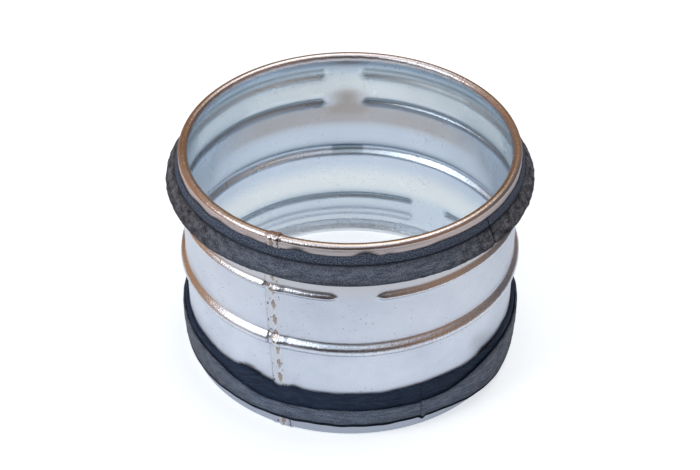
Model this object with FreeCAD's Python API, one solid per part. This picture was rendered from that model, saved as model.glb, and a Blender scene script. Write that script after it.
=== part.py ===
import FreeCAD, Part
import math
import os

# Duct connector: a short sheet metal tube that two round ducts push onto, one from each end.
# A rolled bead near the middle stops the ducts, and a rubber lip gasket near each end seals them.
# Millimetres. Z is the axis of the duct, and the lower rim stands on Z = 0.
# Angles are in degrees, measured from the front (-Y) and growing towards the right (+X).

# Sleeve: the rolled tube
sleeve_length = 87.0        # from rim to rim
collar_radius = 62.0        # outside of the plain collar at each end, which enters the duct
collar_length = 4.1         # from the rim to the foot of the collar, where the gasket starts
collar_step = 0.4           # how far the wall between the collars is drawn in
collar_slope = 1.5          # axial length of the slope from collar to wall
sheet = 0.6                 # thickness of the galvanised sheet

# Curled rim: the edge of the sheet is rolled inwards so that no cut edge is left outside
curl_radius = 1.7           # outside radius of the curl
curl_turn = 230.0           # how far the sheet is rolled round

# Stop bead: goes all the way round, a little below the middle of the sleeve
stop_bead_below_middle = 2.5
stop_bead_height = 2.0
stop_bead_crest_radius = 2.4
stop_bead_root_radius = 1.6

# Short ridges: rows pressed out of the wall to stiffen it, with gaps between them
ridges_in_row = 4
ridge_gap_angle = 13.0      # free angle between the ends of two ridges
upper_gap_angle = 2.3       # where one gap of the two upper rows is centred
lower_gap_angle = 58.4      # where one gap of the two lower rows is centred
seat_ridge_land = 1.0       # plain wall between the collar slope and the ridges under a gasket
seat_ridge_width = 6.2
seat_ridge_height = 0.9
upper_ridge_from_rim = 22.4  # the ridges that show below the upper gasket
lower_ridge_from_rim = 18.0  # the ridges under the edge of the lower gasket
wall_ridge_width = 3.6
wall_ridge_height = 1.2

# Lap seam: one end of the sheet lies on the other and is spot welded to it
lap_angle = -24.0           # middle of the lap
lap_width = 7.5             # measured round the wall
lap_clearance = 0.3         # the lap is pressed flush under the gaskets and starts clear of them

# Gaskets: a rubber strip, thin at the rim side, with a lip that points to the middle
strip_edge_thickness = 0.5  # thin edge at the foot of the collar
strip_over_ridge = 0.4      # rubber left over the crest of the highest ridge
strip_bevel = 0.6           # on the edge that faces the middle
upper_strip_width = 12.4
lower_strip_margin = 0.2    # how far the lower strip reaches past the ridges that it covers
lip_root_depth = 2.8        # from the thin edge to the root of the lip
lip_root_rise = 0.3         # how far the root stands above the strip
lip_foot_depth = 2.5        # from the root to where the underside of the lip meets the strip
lip_thickness = 1.0         # at the free edge
upper_lip_rise = 3.9        # the upper lip stands out from the body
upper_lip_drop = 5.2
lower_lip_rise = 1.0        # the lower lip lies close to the strip
lower_lip_drop = 6.4
hinge_groove_width = 0.5    # fine line at the root of the lip
hinge_groove_depth = 0.25
upper_joint_angle = 48.8    # where the ends of the strip butt together
lower_joint_angle = 23.6
joint_gap = 0.4             # left between the two ends

# Sizes that follow from those above
middle = sleeve_length / 2
wall_radius = collar_radius - collar_step
curl_centre_radius = collar_radius - curl_radius
stop_bead_centre = middle - stop_bead_below_middle
stop_bead_rounding = stop_bead_crest_radius + stop_bead_root_radius
stop_bead_half_width = math.sqrt(stop_bead_height * (2 * stop_bead_rounding - stop_bead_height))
ridge_pitch_angle = 360.0 / ridges_in_row
slope_foot = collar_length + collar_slope
seat_ridge_from_rim = slope_foot + seat_ridge_land + seat_ridge_width / 2
strip_radius = wall_radius + max(seat_ridge_height, wall_ridge_height) + strip_over_ridge
upper_strip_end = collar_length + upper_strip_width
lower_strip_end = lower_ridge_from_rim + wall_ridge_width / 2 + lower_strip_margin
lap_turn = math.degrees(lap_width / wall_radius)
lap_top = sleeve_length - upper_strip_end - lap_clearance
lap_bottom = lower_strip_end + lap_clearance

axis_foot = FreeCAD.Vector(0, 0, 0)
axis = FreeCAD.Vector(0, 0, 1)


def point(radius, height):
    """A point of a section drawn in the XZ plane."""
    return FreeCAD.Vector(radius, 0, height)


def line(start, end):
    return Part.LineSegment(start, end).toShape()


def arc(start, between, end):
    return Part.Arc(start, between, end).toShape()


def polyline(points):
    return [line(start, end) for start, end in zip(points, points[1:])]


def turned(edges, start_angle, sweep_angle):
    """Turn a closed section round the axis, from an angle measured from the front."""
    section = Part.Face(Part.Wire(Part.__sortEdges__(edges)))
    solid = section.revolve(axis_foot, axis, sweep_angle)
    solid.rotate(axis_foot, axis, start_angle - 90.0)
    return solid


def stop_bead_edges(offset):
    """The stop bead from its upper to its lower root: hollow, crest and hollow, all tangent."""
    crest = stop_bead_crest_radius + offset
    root = stop_bead_root_radius - offset
    crest_centre = wall_radius + stop_bead_height - stop_bead_crest_radius
    root_centre = wall_radius + stop_bead_root_radius
    turn = math.atan2(stop_bead_half_width, root_centre - crest_centre)

    def on_root(angle, side):
        height = stop_bead_half_width - root * math.sin(angle)
        return point(root_centre - root * math.cos(angle), stop_bead_centre + side * height)

    def on_crest(angle):
        return point(crest_centre + crest * math.cos(angle), stop_bead_centre + crest * math.sin(angle))

    return [
        arc(on_root(0, 1), on_root(turn / 2, 1), on_root(turn, 1)),
        arc(on_crest(turn), on_crest(0), on_crest(-turn)),
        arc(on_root(turn, -1), on_root(turn / 2, -1), on_root(0, -1)),
    ]


def beside_bead(offset, side):
    """Where the plain wall meets the stop bead, above it (side 1) or below it (side -1)."""
    return point(wall_radius + offset, stop_bead_centre + side * stop_bead_half_width)


def end_wall(offset):
    """Points of the wall from the upper curl to the foot of the slope, moved out by the offset."""
    return [
        point(collar_radius + offset, sleeve_length - curl_radius),
        point(collar_radius + offset, sleeve_length - collar_length),
        point(wall_radius + offset, sleeve_length - slope_foot),
    ]


def wall_edges(offset):
    """One face of the sheet from the upper curl, over the stop bead, to the lower curl."""
    upper = end_wall(offset)
    lower = [point(corner.x, sleeve_length - corner.z) for corner in reversed(upper)]
    above_bead = polyline(upper + [beside_bead(offset, 1)])
    below_bead = polyline([beside_bead(offset, -1)] + lower)
    return above_bead + stop_bead_edges(offset) + below_bead


def on_curl(radius, degrees, side):
    """A point on the curl of the upper rim (side 1) or of the lower rim (side -1)."""
    turn = math.radians(degrees)
    height = middle - curl_radius + radius * math.sin(turn)
    return point(curl_centre_radius + radius * math.cos(turn), middle + side * height)


def sleeve_section():
    """The sheet cut through the axis: both faces of the wall, the two curls and their cut edges."""
    inside = curl_radius - sheet
    edges = wall_edges(0) + wall_edges(-sheet)
    for side in (1, -1):
        for radius in (curl_radius, inside):
            edges.append(arc(on_curl(radius, 0, side), on_curl(radius, curl_turn / 2, side),
                             on_curl(radius, curl_turn, side)))
        edges.append(line(on_curl(curl_radius, curl_turn, side), on_curl(inside, curl_turn, side)))
    return edges


def ridge_round(width, height):
    """Radius of the round section of a ridge, and the radius of the ring that it runs along."""
    round_radius = (width ** 2 / 4 + height ** 2) / (2 * height)
    return round_radius, wall_radius + height - round_radius


def ridge(width, height, from_bottom, gap_angle, inset):
    """One pressed ridge. An inset of one sheet gives the hollow behind it."""
    round_radius, ring_radius = ridge_round(width, height)
    face_radius = wall_radius - inset
    half_width = math.sqrt((round_radius - inset) ** 2 - (face_radius - ring_radius) ** 2)
    foot_radius = face_radius - sheet / 2
    low = point(face_radius, from_bottom - half_width)
    high = point(face_radius, from_bottom + half_width)
    crest = point(wall_radius + height - inset, from_bottom)
    edges = [arc(low, crest, high)] + polyline([
        high,
        point(foot_radius, from_bottom + half_width),
        point(foot_radius, from_bottom - half_width),
        low,
    ])
    end_angle = ridge_gap_angle / 2 + math.degrees(inset / wall_radius)
    return turned(edges, gap_angle + end_angle, ridge_pitch_angle - 2 * end_angle)


def all_ridges(inset):
    """The four rows: one under each gasket and one nearer the middle at each end."""
    rows = [
        (seat_ridge_width, seat_ridge_height, sleeve_length - seat_ridge_from_rim, upper_gap_angle),
        (wall_ridge_width, wall_ridge_height, sleeve_length - upper_ridge_from_rim, upper_gap_angle),
        (wall_ridge_width, wall_ridge_height, lower_ridge_from_rim, lower_gap_angle),
        (seat_ridge_width, seat_ridge_height, seat_ridge_from_rim, lower_gap_angle),
    ]
    ridges = []
    for width, height, from_bottom, gap_angle in rows:
        for number in range(ridges_in_row):
            ridges.append(ridge(width, height, from_bottom, gap_angle + number * ridge_pitch_angle, inset))
    return ridges


def lap_strip():
    """The outer layer of the lap seam: one more sheet over the wall and the stop bead."""
    upper_end = [beside_bead(sheet, 1), point(wall_radius + sheet, lap_top)]
    lower_end = [beside_bead(sheet, -1), point(wall_radius + sheet, lap_bottom)]
    back = wall_radius - sheet / 2
    back_line = [lower_end[1], point(back, lap_bottom), point(back, lap_top), upper_end[1]]
    edges = polyline(upper_end) + stop_bead_edges(sheet) + polyline(lower_end) + polyline(back_line)
    return turned(edges, lap_angle - lap_turn / 2, lap_turn)


def gasket_section(strip_end, lip_rise, lip_drop, ridge_rows):
    """The strip and its lip, drawn at the upper end with depths below the rim."""
    def at(radius, depth):
        return point(radius, sleeve_length - depth)

    root_radius = strip_radius + lip_root_rise
    root_depth = collar_length + lip_root_depth
    along = FreeCAD.Vector(lip_rise, 0, -lip_drop).normalize()
    under = FreeCAD.Vector(along.z, 0, -along.x) * lip_thickness
    tip_outside = at(root_radius + lip_rise, root_depth + lip_drop)
    tip_inside = tip_outside + under
    tip_end = (tip_outside + tip_inside) * 0.5 + along * (lip_thickness / 2)
    outside = polyline([
        at(collar_radius, collar_length),
        at(collar_radius + strip_edge_thickness, collar_length),
        at(root_radius, root_depth - hinge_groove_width),
        at(root_radius - hinge_groove_depth, root_depth - hinge_groove_width / 2),
        at(root_radius, root_depth),
        tip_outside,
    ])
    behind_lip = polyline([
        tip_inside,
        at(strip_radius, root_depth + lip_foot_depth),
        at(strip_radius, strip_end - strip_bevel),
        at(strip_radius - strip_bevel, strip_end),
        at(wall_radius, strip_end),
    ])
    seat = [line(at(collar_radius, collar_length), at(wall_radius, slope_foot))]
    depth = slope_foot
    for width, height, from_rim in ridge_rows:
        seat.append(line(at(wall_radius, depth), at(wall_radius, from_rim - width / 2)))
        depth = from_rim + width / 2
        seat.append(arc(at(wall_radius, from_rim - width / 2), at(wall_radius + height, from_rim),
                        at(wall_radius, depth)))
    seat.append(line(at(wall_radius, depth), at(wall_radius, strip_end)))
    return outside + [arc(tip_outside, tip_end, tip_inside)] + behind_lip + seat


def gasket(section, joint_angle):
    """The strip goes round the sleeve until its two ends nearly touch."""
    slit_angle = math.degrees(joint_gap / strip_radius)
    return turned(section, joint_angle + slit_angle / 2, 360.0 - slit_angle)


# Sleeve: the turned sheet, with the ridges pressed out and the lap seam on top
sheet_tube = turned(sleeve_section(), 0.0, 360.0)
sleeve = sheet_tube.fuse(all_ridges(0) + [lap_strip()]).cut(all_ridges(sheet))

# Gaskets: each strip is wrapped over the collar step and the rows of ridges that it covers
seat_row = (seat_ridge_width, seat_ridge_height, seat_ridge_from_rim)
edge_row = (wall_ridge_width, wall_ridge_height, lower_ridge_from_rim)
upper_section = gasket_section(upper_strip_end, upper_lip_rise, upper_lip_drop, [seat_row])
lower_section = gasket_section(lower_strip_end, lower_lip_rise, lower_lip_drop, [seat_row, edge_row])
upper_gasket = gasket(upper_section, upper_joint_angle)
lower_gasket = gasket(lower_section, lower_joint_angle).mirror(point(0, middle), axis)

os.makedirs("parts", exist_ok=True)
for node, shape in (("sleeve", sleeve), ("upper_gasket", upper_gasket), ("lower_gasket", lower_gasket)):
    shape.exportStep("parts/" + node + ".step")
    print(node, "solids", len(shape.Solids), "volume", round(shape.Volume, 1), "valid", shape.isValid())
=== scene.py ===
# %% [markdown]
# # A duct connector, dressed
#
# The object is a short galvanised tube that joins two round ducts. Each end has a curled rim and a
# rubber gasket, and a rolled bead stops the ducts. The solid model gives the sizes; this lesson gives
# the surfaces their small faults, which is what makes pressed sheet metal look real.

# %% Load the solid model
import bpy
import numpy as np
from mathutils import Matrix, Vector


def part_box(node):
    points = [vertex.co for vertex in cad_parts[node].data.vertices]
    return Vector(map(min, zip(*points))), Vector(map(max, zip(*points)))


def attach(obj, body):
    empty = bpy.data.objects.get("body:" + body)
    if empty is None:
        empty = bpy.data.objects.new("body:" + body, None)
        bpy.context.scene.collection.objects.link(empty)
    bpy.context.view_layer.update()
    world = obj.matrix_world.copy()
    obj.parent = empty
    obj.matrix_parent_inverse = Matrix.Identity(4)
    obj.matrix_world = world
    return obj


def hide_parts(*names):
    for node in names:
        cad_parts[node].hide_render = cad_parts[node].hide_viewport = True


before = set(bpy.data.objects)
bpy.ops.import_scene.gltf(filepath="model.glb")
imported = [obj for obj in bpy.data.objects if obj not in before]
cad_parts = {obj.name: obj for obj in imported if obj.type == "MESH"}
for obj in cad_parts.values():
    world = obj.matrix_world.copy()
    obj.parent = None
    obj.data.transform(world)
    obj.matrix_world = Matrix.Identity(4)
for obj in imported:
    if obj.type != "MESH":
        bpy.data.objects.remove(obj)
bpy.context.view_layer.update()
sleeve_low, sleeve_high = (np.array(corner) * 1000 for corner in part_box("sleeve"))
print("sleeve in mm from", sleeve_low.round(2), "to", sleeve_high.round(2))

# %% [markdown]
# ## A grid that is fine where it has to be
#
# Every piece here is a closed section carried round the Z axis, so a surface is two tables of numbers:
# the radius and the height at each section point and angle. A seam is only a few millimetres wide on a
# tube of 390 mm girth. Evenly spaced samples would need a huge mesh for it, so the samples crowd where
# a weight is high. Angles are in degrees from the front and grow to the right, lengths in millimetres.

# %% Crowded samples
FINE_STEPS = 20001


def crowded(low, high, count, weight):
    """Samples from low to high that lie closer where the weight is high: its running sum, inverted."""
    fine = np.linspace(low, high, FINE_STEPS)
    heavy = weight(fine)
    total = np.concatenate([[0.0], np.cumsum(heavy[1:] + heavy[:-1])])
    return np.interp(np.linspace(0.0, total[-1], count), total, fine)


def hill(x, centre, half_width):
    """A smooth hill: exp(-((x - centre) / half_width)^2), which is 1 at its centre."""
    return np.exp(-((x - centre) / half_width) ** 2)


def ramp(x, start, end):
    """A smooth step from 0 at the start to 1 at the end: 3 t^2 - 2 t^3 of the share t between them."""
    share = np.clip((x - start) / (end - start), 0.0, 1.0)
    return share * share * (3.0 - 2.0 * share)


def plateau(x, start, end, soft):
    """1 between the start and the end, with a smooth step of the soft length outside each of them."""
    return ramp(x, start - soft, start) * (1 - ramp(x, end, end + soft))


print("ten crowded samples:", crowded(0, 10, 10, lambda x: 1 + 4 * hill(x, 5, 1)).round(1))

# %% [markdown]
# ## From tables to a mesh
#
# A modifier such as Screw could turn a section too, but it repeats one section without change. With the
# whole table worked out first, each angle may have its own section. The helper joins neighbours by
# quads, closes the ends of a strip, and turns all faces round if the signed volume comes out negative.
# A UV map keeps the place of each point in millimetres: how far round the girth, and how far along.

# %% Ring mesh
MM = 0.001
GIRTH_RADIUS = 61.6
SHARP_EDGE = np.radians(48)


def corner_table(table, rows, columns):
    """The table's values at the four corners of each quad."""
    return np.stack([table[:rows, :columns], table[:rows, 1:columns + 1],
                     table[1:rows + 1, 1:columns + 1], table[1:rows + 1, :columns]], axis=-1).reshape(-1, 4)


def signed_volume(points, quads):
    """A sixth of the sum of a . (b - a) x (c - a) over all triangles: negative if faces point inwards."""
    a, b, c, d = (points[quads[:, k]] for k in range(4))
    return np.sum(np.cross(b - a, c - a) * a + np.cross(c - a, d - a) * a) / 6


def swept_ring(name, radius, height, angle, along, whole_turn):
    """Section points (rows) at angles (columns): x = r sin a, y = -r cos a, z = h."""
    rows, columns = radius.shape
    turn = np.radians(angle)[None, :]
    points = np.stack([radius * np.sin(turn), -radius * np.cos(turn), height], axis=-1).reshape(-1, 3) * MM
    numbers = np.arange(rows * columns).reshape(rows, columns)
    closed = np.concatenate([numbers, numbers[:1]])
    girth = angle
    spans = columns - 1
    if whole_turn:
        closed = np.concatenate([closed, closed[:, :1]], axis=1)
        girth = np.append(angle, angle[0] + 360.0)
        along = np.concatenate([along, along[:, :1]], axis=1)
        spans = columns
    quads = corner_table(closed, rows, spans)
    u = corner_table(np.broadcast_to(np.radians(girth) * GIRTH_RADIUS, along.shape), rows, spans)
    v = corner_table(along, rows, spans)
    volume = signed_volume(points, quads)
    if volume < 0:
        quads, u, v = quads[:, ::-1], u[:, ::-1], v[:, ::-1]
    faces = quads.tolist()
    corners = np.stack([u, v], axis=-1).reshape(-1, 2)
    if not whole_turn:
        first, last = numbers[:, 0], numbers[:, -1]
        caps = [first[::-1], last] if volume < 0 else [first, last[::-1]]
        faces += [cap.tolist() for cap in caps]
        corners = np.concatenate([corners, np.zeros((2 * rows, 2))])
    mesh = bpy.data.meshes.new(name)
    mesh.from_pydata(points, [], faces)
    mesh.uv_layers.new(name="girth").data.foreach_set("uv", corners.astype(np.float32).ravel())
    mesh.shade_smooth()
    mesh.set_sharp_from_angle(angle=SHARP_EDGE)
    piece = bpy.data.objects.new(name, mesh)
    bpy.context.scene.collection.objects.link(piece)
    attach(piece, "root")
    print(name, len(faces), "faces,", round(abs(volume) * 1e6, 2), "cm3")
    return piece


def keep_mark(piece, name, table):
    """Keep a table of one number per point as an attribute that a material can read."""
    layer = piece.data.attributes.new(name, "FLOAT", "POINT")
    layer.data.foreach_set("value", np.ascontiguousarray(table, dtype=np.float32).ravel())


print("a degree is", round(float(np.radians(1) * GIRTH_RADIUS), 2), "mm of girth")

# %% [markdown]
# ## The sleeve's wall
#
# The sheet keeps its thickness as it goes over the stop bead. So the bead is three arcs that touch:
# a hollow, the crest and a hollow. The inner face is the same shape with one radius smaller and the
# other larger by the sheet. Near the rims the wall steps out a little to the plain collar.

# %% Wall radius
LENGTH = float(sleeve_high[2] - sleeve_low[2])
BEAD_LEVEL = LENGTH / 2 - 2.5
SHEET = 0.6
COLLAR, WALL = 62.0, 61.6
COLLAR_FOOT, SLOPE_FOOT = 4.1, 5.6
CREST, ROOT, BEAD_HEIGHT = 2.4, 1.6, 2.0
BEAD_HALF = float(np.sqrt(BEAD_HEIGHT * (2 * (CREST + ROOT) - BEAD_HEIGHT)))


def from_rim(z):
    """How far a height is from the nearer rim."""
    return np.minimum(z, LENGTH - z)


def wall_radius(z, offset):
    """Collar, slope and wall by straight pieces; the bead by its crest circle and its two root circles."""
    plain = np.interp(from_rim(z), [COLLAR_FOOT, SLOPE_FOOT], [COLLAR, WALL]) + offset
    away = np.abs(z - BEAD_LEVEL)
    crest = WALL + BEAD_HEIGHT - CREST + np.sqrt(np.maximum((CREST + offset) ** 2 - away ** 2, 0))
    root = WALL + ROOT - np.sqrt(np.maximum((ROOT - offset) ** 2 - (BEAD_HALF - away) ** 2, 0))
    touch = (CREST + offset) * BEAD_HALF / (CREST + ROOT)
    return np.where(away < touch, crest, np.where(away < BEAD_HALF, root, plain))


print("bead", round(2 * BEAD_HALF, 2), "mm wide, crest at", wall_radius(np.array(BEAD_LEVEL), 0).round(2))

# %% [markdown]
# ## The short ridges
#
# Four rows of ridges are pressed into the wall, with gaps between them and ends that run out like a
# spear. One bump function does them all: it measures how far an angle is from the nearest gap and lets
# height and width grow from nothing at the tip.

# %% Pressed ridges
PITCH, GAP = 90.0, 12.6
UPPER_GAP, LOWER_GAP = 2.3, 58.4
SEAT_RIDGE, WALL_RIDGE = (6.2, 0.9, 1.6), (3.6, 1.2, 2.2)
UPPER_RIDGE_Z, LOWER_RIDGE_Z = LENGTH - 22.4, 18.0
SEAT_RIDGE_FROM_RIM = 9.7
RIDGE_ROWS = [(LENGTH - SEAT_RIDGE_FROM_RIM, UPPER_GAP, SEAT_RIDGE), (UPPER_RIDGE_Z, UPPER_GAP, WALL_RIDGE),
              (LOWER_RIDGE_Z, LOWER_GAP, WALL_RIDGE), (SEAT_RIDGE_FROM_RIM, LOWER_GAP, SEAT_RIDGE)]


def from_gap(angle, gap):
    """How far an angle is from the nearest gap of a row."""
    return np.abs((angle - gap + PITCH / 2) % PITCH - PITCH / 2)


def swelling(angle, gap, tip):
    """0 in a gap, 1 on a ridge, rising over the length of its tip."""
    return np.clip((from_gap(angle, gap) - GAP / 2) / tip, 0, 1) ** 0.8


def ridge_height(angle, z):
    """Sum of the rows: height times swell times (1 - x^2)^2, x counted from the crest in half widths."""
    total = 0.0
    for level, gap, (width, height, tip) in RIDGE_ROWS:
        swell = swelling(angle, gap, tip)
        half = width / 2 * (0.35 + 0.65 * swell)
        total = total + height * swell * np.clip(1 - ((z - level) / half) ** 2, 0, None) ** 2
    return total


print("ridge at 30 degrees:", ridge_height(np.array(30.0), np.array(UPPER_RIDGE_Z)).round(2), "mm high")

# %% [markdown]
# ## The lap seam and its welds
#
# One end of the sheet lies on the other, and a row of spot welds holds it. On the wall the left edge of
# the lap shows as a step; on the collars it is the right edge. Where the bead and the ridge cross the lap
# the metal is pinched, and the curl of the rim swells into two small humps.

# %% Lap seam
SEAM_LEAN = 0.045
LAP_ANGLE, LAP_LEVEL, LAP_TURN = -28.2, 61.2, 5.8
WELD_ANGLE, WELD_LEVEL, WELD_PITCH = -25.2, 57.0, 6.7
WELD_DEPTH, WELD_HALF_WIDTH, WELD_HALF_HEIGHT = 0.16, 0.95, 2.4


def leaning(angle, level, z):
    """An angle that is right at one level and, from the first weld down, leans a little to the right."""
    return angle + (level - np.minimum(z, WELD_LEVEL)) * SEAM_LEAN


def past_seam(angle, z):
    """How far an angle lies to the right of the lap's left edge."""
    return angle - leaning(LAP_ANGLE, LAP_LEVEL, z)


def lap_step(angle, z):
    """The outer layer: on the wall sharp on the left and soft on the right, on the collars the reverse."""
    across = past_seam(angle, z)
    on_wall = 0.32 * ramp(across, 0.0, 0.16) * (1 - ramp(across, LAP_TURN - 0.6, LAP_TURN + 1.4))
    on_collar = 0.30 * ramp(across, 0.0, 3.0) * (1 - ramp(across, LAP_TURN, LAP_TURN + 0.16))
    return np.where(from_rim(z) > SLOPE_FOOT, on_wall, on_collar)


def pinch(angle, z):
    """The beads give way on the lap: a hollow near its edge and a low swelling to the right of it."""
    across = past_seam(angle, z)
    total = 0.0
    for level, half, depth in ((BEAD_LEVEL, 2.6, 1.25), (UPPER_RIDGE_Z, 1.8, 0.8)):
        total = total - depth * plateau(across, 0.1, 1.5, 0.5) * hill(z, level + 0.4, half)
        total = total + 0.3 * depth * hill(across, 3.6, 1.2) * hill(z, level, half * 1.2)
    return total


def weld_dip(angle, z):
    """Oval hollows, one in each pitch of the weld row: 1 - (x / a)^2 - (y / b)^2, and 0 outside."""
    x = np.radians(angle - leaning(WELD_ANGLE, WELD_LEVEL, z)) * GIRTH_RADIUS
    y = (z - WELD_LEVEL + WELD_PITCH / 2) % WELD_PITCH - WELD_PITCH / 2
    return -WELD_DEPTH * np.clip(1 - (x / WELD_HALF_WIDTH) ** 2 - (y / WELD_HALF_HEIGHT) ** 2, 0, None)


def rim_humps(angle, z):
    """Two humps on the curl, where it is rolled from two layers; they fade out below the curl."""
    both = 0.30 * hill(angle, -26.2, 1.0) + 0.38 * hill(angle, -23.6, 0.7)
    return both * ramp(from_rim(z), 4.0, 1.7)


print("step across the lap:", lap_step(np.array([-28.0, -24.0]), BEAD_LEVEL).round(2), "mm")

# %% [markdown]
# ## A tired sheet
#
# A real sheet is never quite round. Slow waves of a tenth of a millimetre bend the reflections, the rolls
# left fine creases at the roots of the bead, and one dent sits low on the right.

# %% Waves, creases and a dent
DENT_ANGLE, DENT_LEVEL, DENT_DEPTH = 52.0, 24.0, 0.9


def slow_waves(angle, z):
    """Out of round: a few sine waves round the girth whose phase drifts with the height."""
    a = np.radians(angle)
    up = z / LENGTH
    return (0.10 * np.sin(3 * a + 0.6 + 1.1 * up) + 0.06 * np.sin(7 * a + 2.0 - 2.3 * up)
            + 0.035 * np.sin(13 * a + 4.1 + 5.0 * up) + 0.02 * np.sin(29 * a + 1.3 + 9.0 * up))


def creases(angle, z):
    """Fine grooves at both roots of the bead, and a fainter one above it that fades in and out."""
    share = 0.5 + 0.5 * np.sin(np.radians(3 * angle) + 0.9)
    roots = hill(z, BEAD_LEVEL - BEAD_HALF, 0.45) + hill(z, BEAD_LEVEL + BEAD_HALF, 0.45)
    return -0.13 * roots - 0.05 * share * hill(z, BEAD_LEVEL + 6.3, 0.4)


def dent(angle, z):
    """One hollow low on the right, longer along the slope than across it."""
    right, above = angle - DENT_ANGLE, z - DENT_LEVEL
    along = right * 0.75 - above * 0.66
    across = right * 0.66 + above * 0.75
    return -DENT_DEPTH * hill(along, 0.0, 8.0) * hill(across, 0.0, 4.5)


print("deepest point of the dent:", dent(np.array(DENT_ANGLE), np.array(DENT_LEVEL)), "mm")

# %% [markdown]
# ## Where the rubber ends
#
# The gaskets are glued on, and the glue has squeezed out in dark lobes along their edges. The metal needs
# to know where these are, because each lobe leaves a thin smear beyond it. So the edges are functions of
# the angle, which both the metal and the rubber use.

# %% Edges of the gaskets
UPPER_LOBES = [(-16.4, 3.2, 1.25), (4.8, 3.4, 1.5), (12, 2.5, 0.5), (-58, 6, 1.0), (-46, 4, 0.8),
               (-72, 5, 0.9), (-33, 3, 0.4), (30, 5, 0.4), (63, 6, 0.7), (95, 5, 0.9), (140, 8, 0.7),
               (-120, 7, 0.9), (175, 6, 0.8)]
LOWER_LOBES = [(-36, 5.0, 1.9), (-19, 2.2, 0.8), (20, 8, 0.2), (68, 6, 0.9), (120, 9, 0.8),
               (-100, 8, 0.9), (160, 8, 0.7)]
STRIP_TOP, LAP_NOTCH = 20.0, -24.8


def smears(angle, places):
    """Lobes pressed out along an edge: the highest of a set of smooth hills."""
    return np.max([tall * hill(angle, centre, half) for centre, half, tall in places], axis=0)


def wavering(angle, amounts, seed):
    """Uneven rubber: sine waves of 2, 5, 11, 23 and 47 turns with phases from a fixed seed."""
    phases = np.random.default_rng(seed).uniform(0, 2 * np.pi, 5)
    turns = np.array([2, 5, 11, 23, 47])
    return sum(m * np.sin(np.radians(angle) * n + p) for m, n, p in zip(amounts, turns, phases))


def upper_edge(angle):
    """Depth of the upper gasket's thin edge: the collar's foot, deeper at the sides, less the lobes."""
    uneven = wavering(angle, [0.05, 0.05, 0.06, 0.05, 0.03], 3)
    deeper = 0.9 * ramp(np.abs(angle), 40, 75)
    return COLLAR_FOOT + deeper - 0.7 * smears(angle, UPPER_LOBES) + uneven


def lower_edge(angle):
    """Height of the lower strip's upper edge: level but for the lobes and a notch at the lap."""
    uneven = wavering(angle, [0.15, 0.12, 0.12, 0.08, 0.05], 19)
    return STRIP_TOP + smears(angle, LOWER_LOBES) - 0.9 * hill(angle, LAP_NOTCH, 1.2) + uneven


def smear_share(angle, z):
    """How dark a smear is: 1 at the rubber's edge, 0 about one lobe's height beyond it."""
    total = 0.0
    above_upper = upper_edge(angle) - (LENGTH - z)
    above_lower = z - lower_edge(angle)
    for beyond, places in ((above_upper, UPPER_LOBES), (above_lower, LOWER_LOBES)):
        lobe = smears(angle, places)
        total = total + ramp(beyond, 0.2 + 1.3 * lobe, 0.2) * np.clip(lobe / 0.9, 0, 1) * (beyond > -1)
    return np.minimum(total, 1.0)


print("upper edge lies", upper_edge(np.array([-16.0, 0.0, 4.8])).round(2), "mm below the rim")

# %% [markdown]
# ## The sleeve
#
# The section is one closed loop: up the outer face, round the upper curl and back along its inside, down
# the inner face, and round the lower curl. The faults move the outer and the inner face together, so the
# sheet keeps its thickness. The lap, the welds and the humps are on the outer face alone.

# %% Section of the sleeve
CURL, CURL_TURN = 1.7, np.radians(230.0)
CURL_CENTRE = COLLAR - CURL
OUTER_ROWS, INNER_ROWS, CURL_OUT, CURL_IN = 104, 76, 12, 6


def section_weight(z):
    """More samples on the bead, the ridges and the collars: a plain amount, plus a hill on each of them."""
    ridges = sum(hill(z, level, size[0] * 0.55) for level, gap, size in RIDGE_ROWS)
    return 0.6 + 2.2 * hill(z, BEAD_LEVEL, 3.6) + 1.2 * ridges + 0.5 * hill(from_rim(z), 4, 3)


def loop(outer, curl, inner):
    """One value per section point: outer face, upper curl, inner face, lower curl."""
    return np.concatenate([outer, curl, inner, curl[::-1]])


outer_z = crowded(CURL, LENGTH - CURL, OUTER_ROWS, section_weight)
inner_z = crowded(CURL, LENGTH - CURL, INNER_ROWS, section_weight)[::-1]
turn_out = np.linspace(0, CURL_TURN, CURL_OUT + 1)[1:]
turn_back = np.linspace(CURL_TURN, 0, CURL_IN + 1)[:-1]
curl_turn = np.concatenate([turn_out, turn_back])
curl_radius = np.repeat([CURL, CURL - SHEET], [CURL_OUT, CURL_IN])
curl_outside = np.repeat([1.0, 0.0], [CURL_OUT, CURL_IN])
curl_out = CURL_CENTRE + curl_radius * np.cos(curl_turn)
curl_up = curl_radius * np.sin(curl_turn)
section_r = loop(wall_radius(outer_z, 0), curl_out, wall_radius(inner_z, -SHEET))
section_z = np.concatenate([outer_z, LENGTH - CURL + curl_up, inner_z, CURL - curl_up[::-1]])
print("section has", len(section_r), "points round the sheet")

# %% Shares of the section
wall_share = loop(np.ones(OUTER_ROWS), np.zeros(CURL_OUT + CURL_IN), np.ones(INNER_ROWS))[:, None]
outer_share = loop(np.ones(OUTER_ROWS), curl_outside, np.zeros(INNER_ROWS))[:, None]
outward = loop(np.ones(OUTER_ROWS), curl_outside * np.cos(curl_turn), np.zeros(INNER_ROWS))[:, None]
upward = loop(np.zeros(OUTER_ROWS), curl_outside * np.sin(curl_turn), np.zeros(INNER_ROWS))[:, None]
cut_edge = loop(np.zeros(OUTER_ROWS), (curl_turn / CURL_TURN) ** 4, np.zeros(INNER_ROWS))[:, None]
upward = upward * np.sign(section_z - LENGTH / 2)[:, None]
print("outer face takes", int(outer_share.sum()), "of the rows")

# %% Sleeve mesh
SLEEVE_COLUMNS = 440
SEAM_MIDDLE = -25.5


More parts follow.
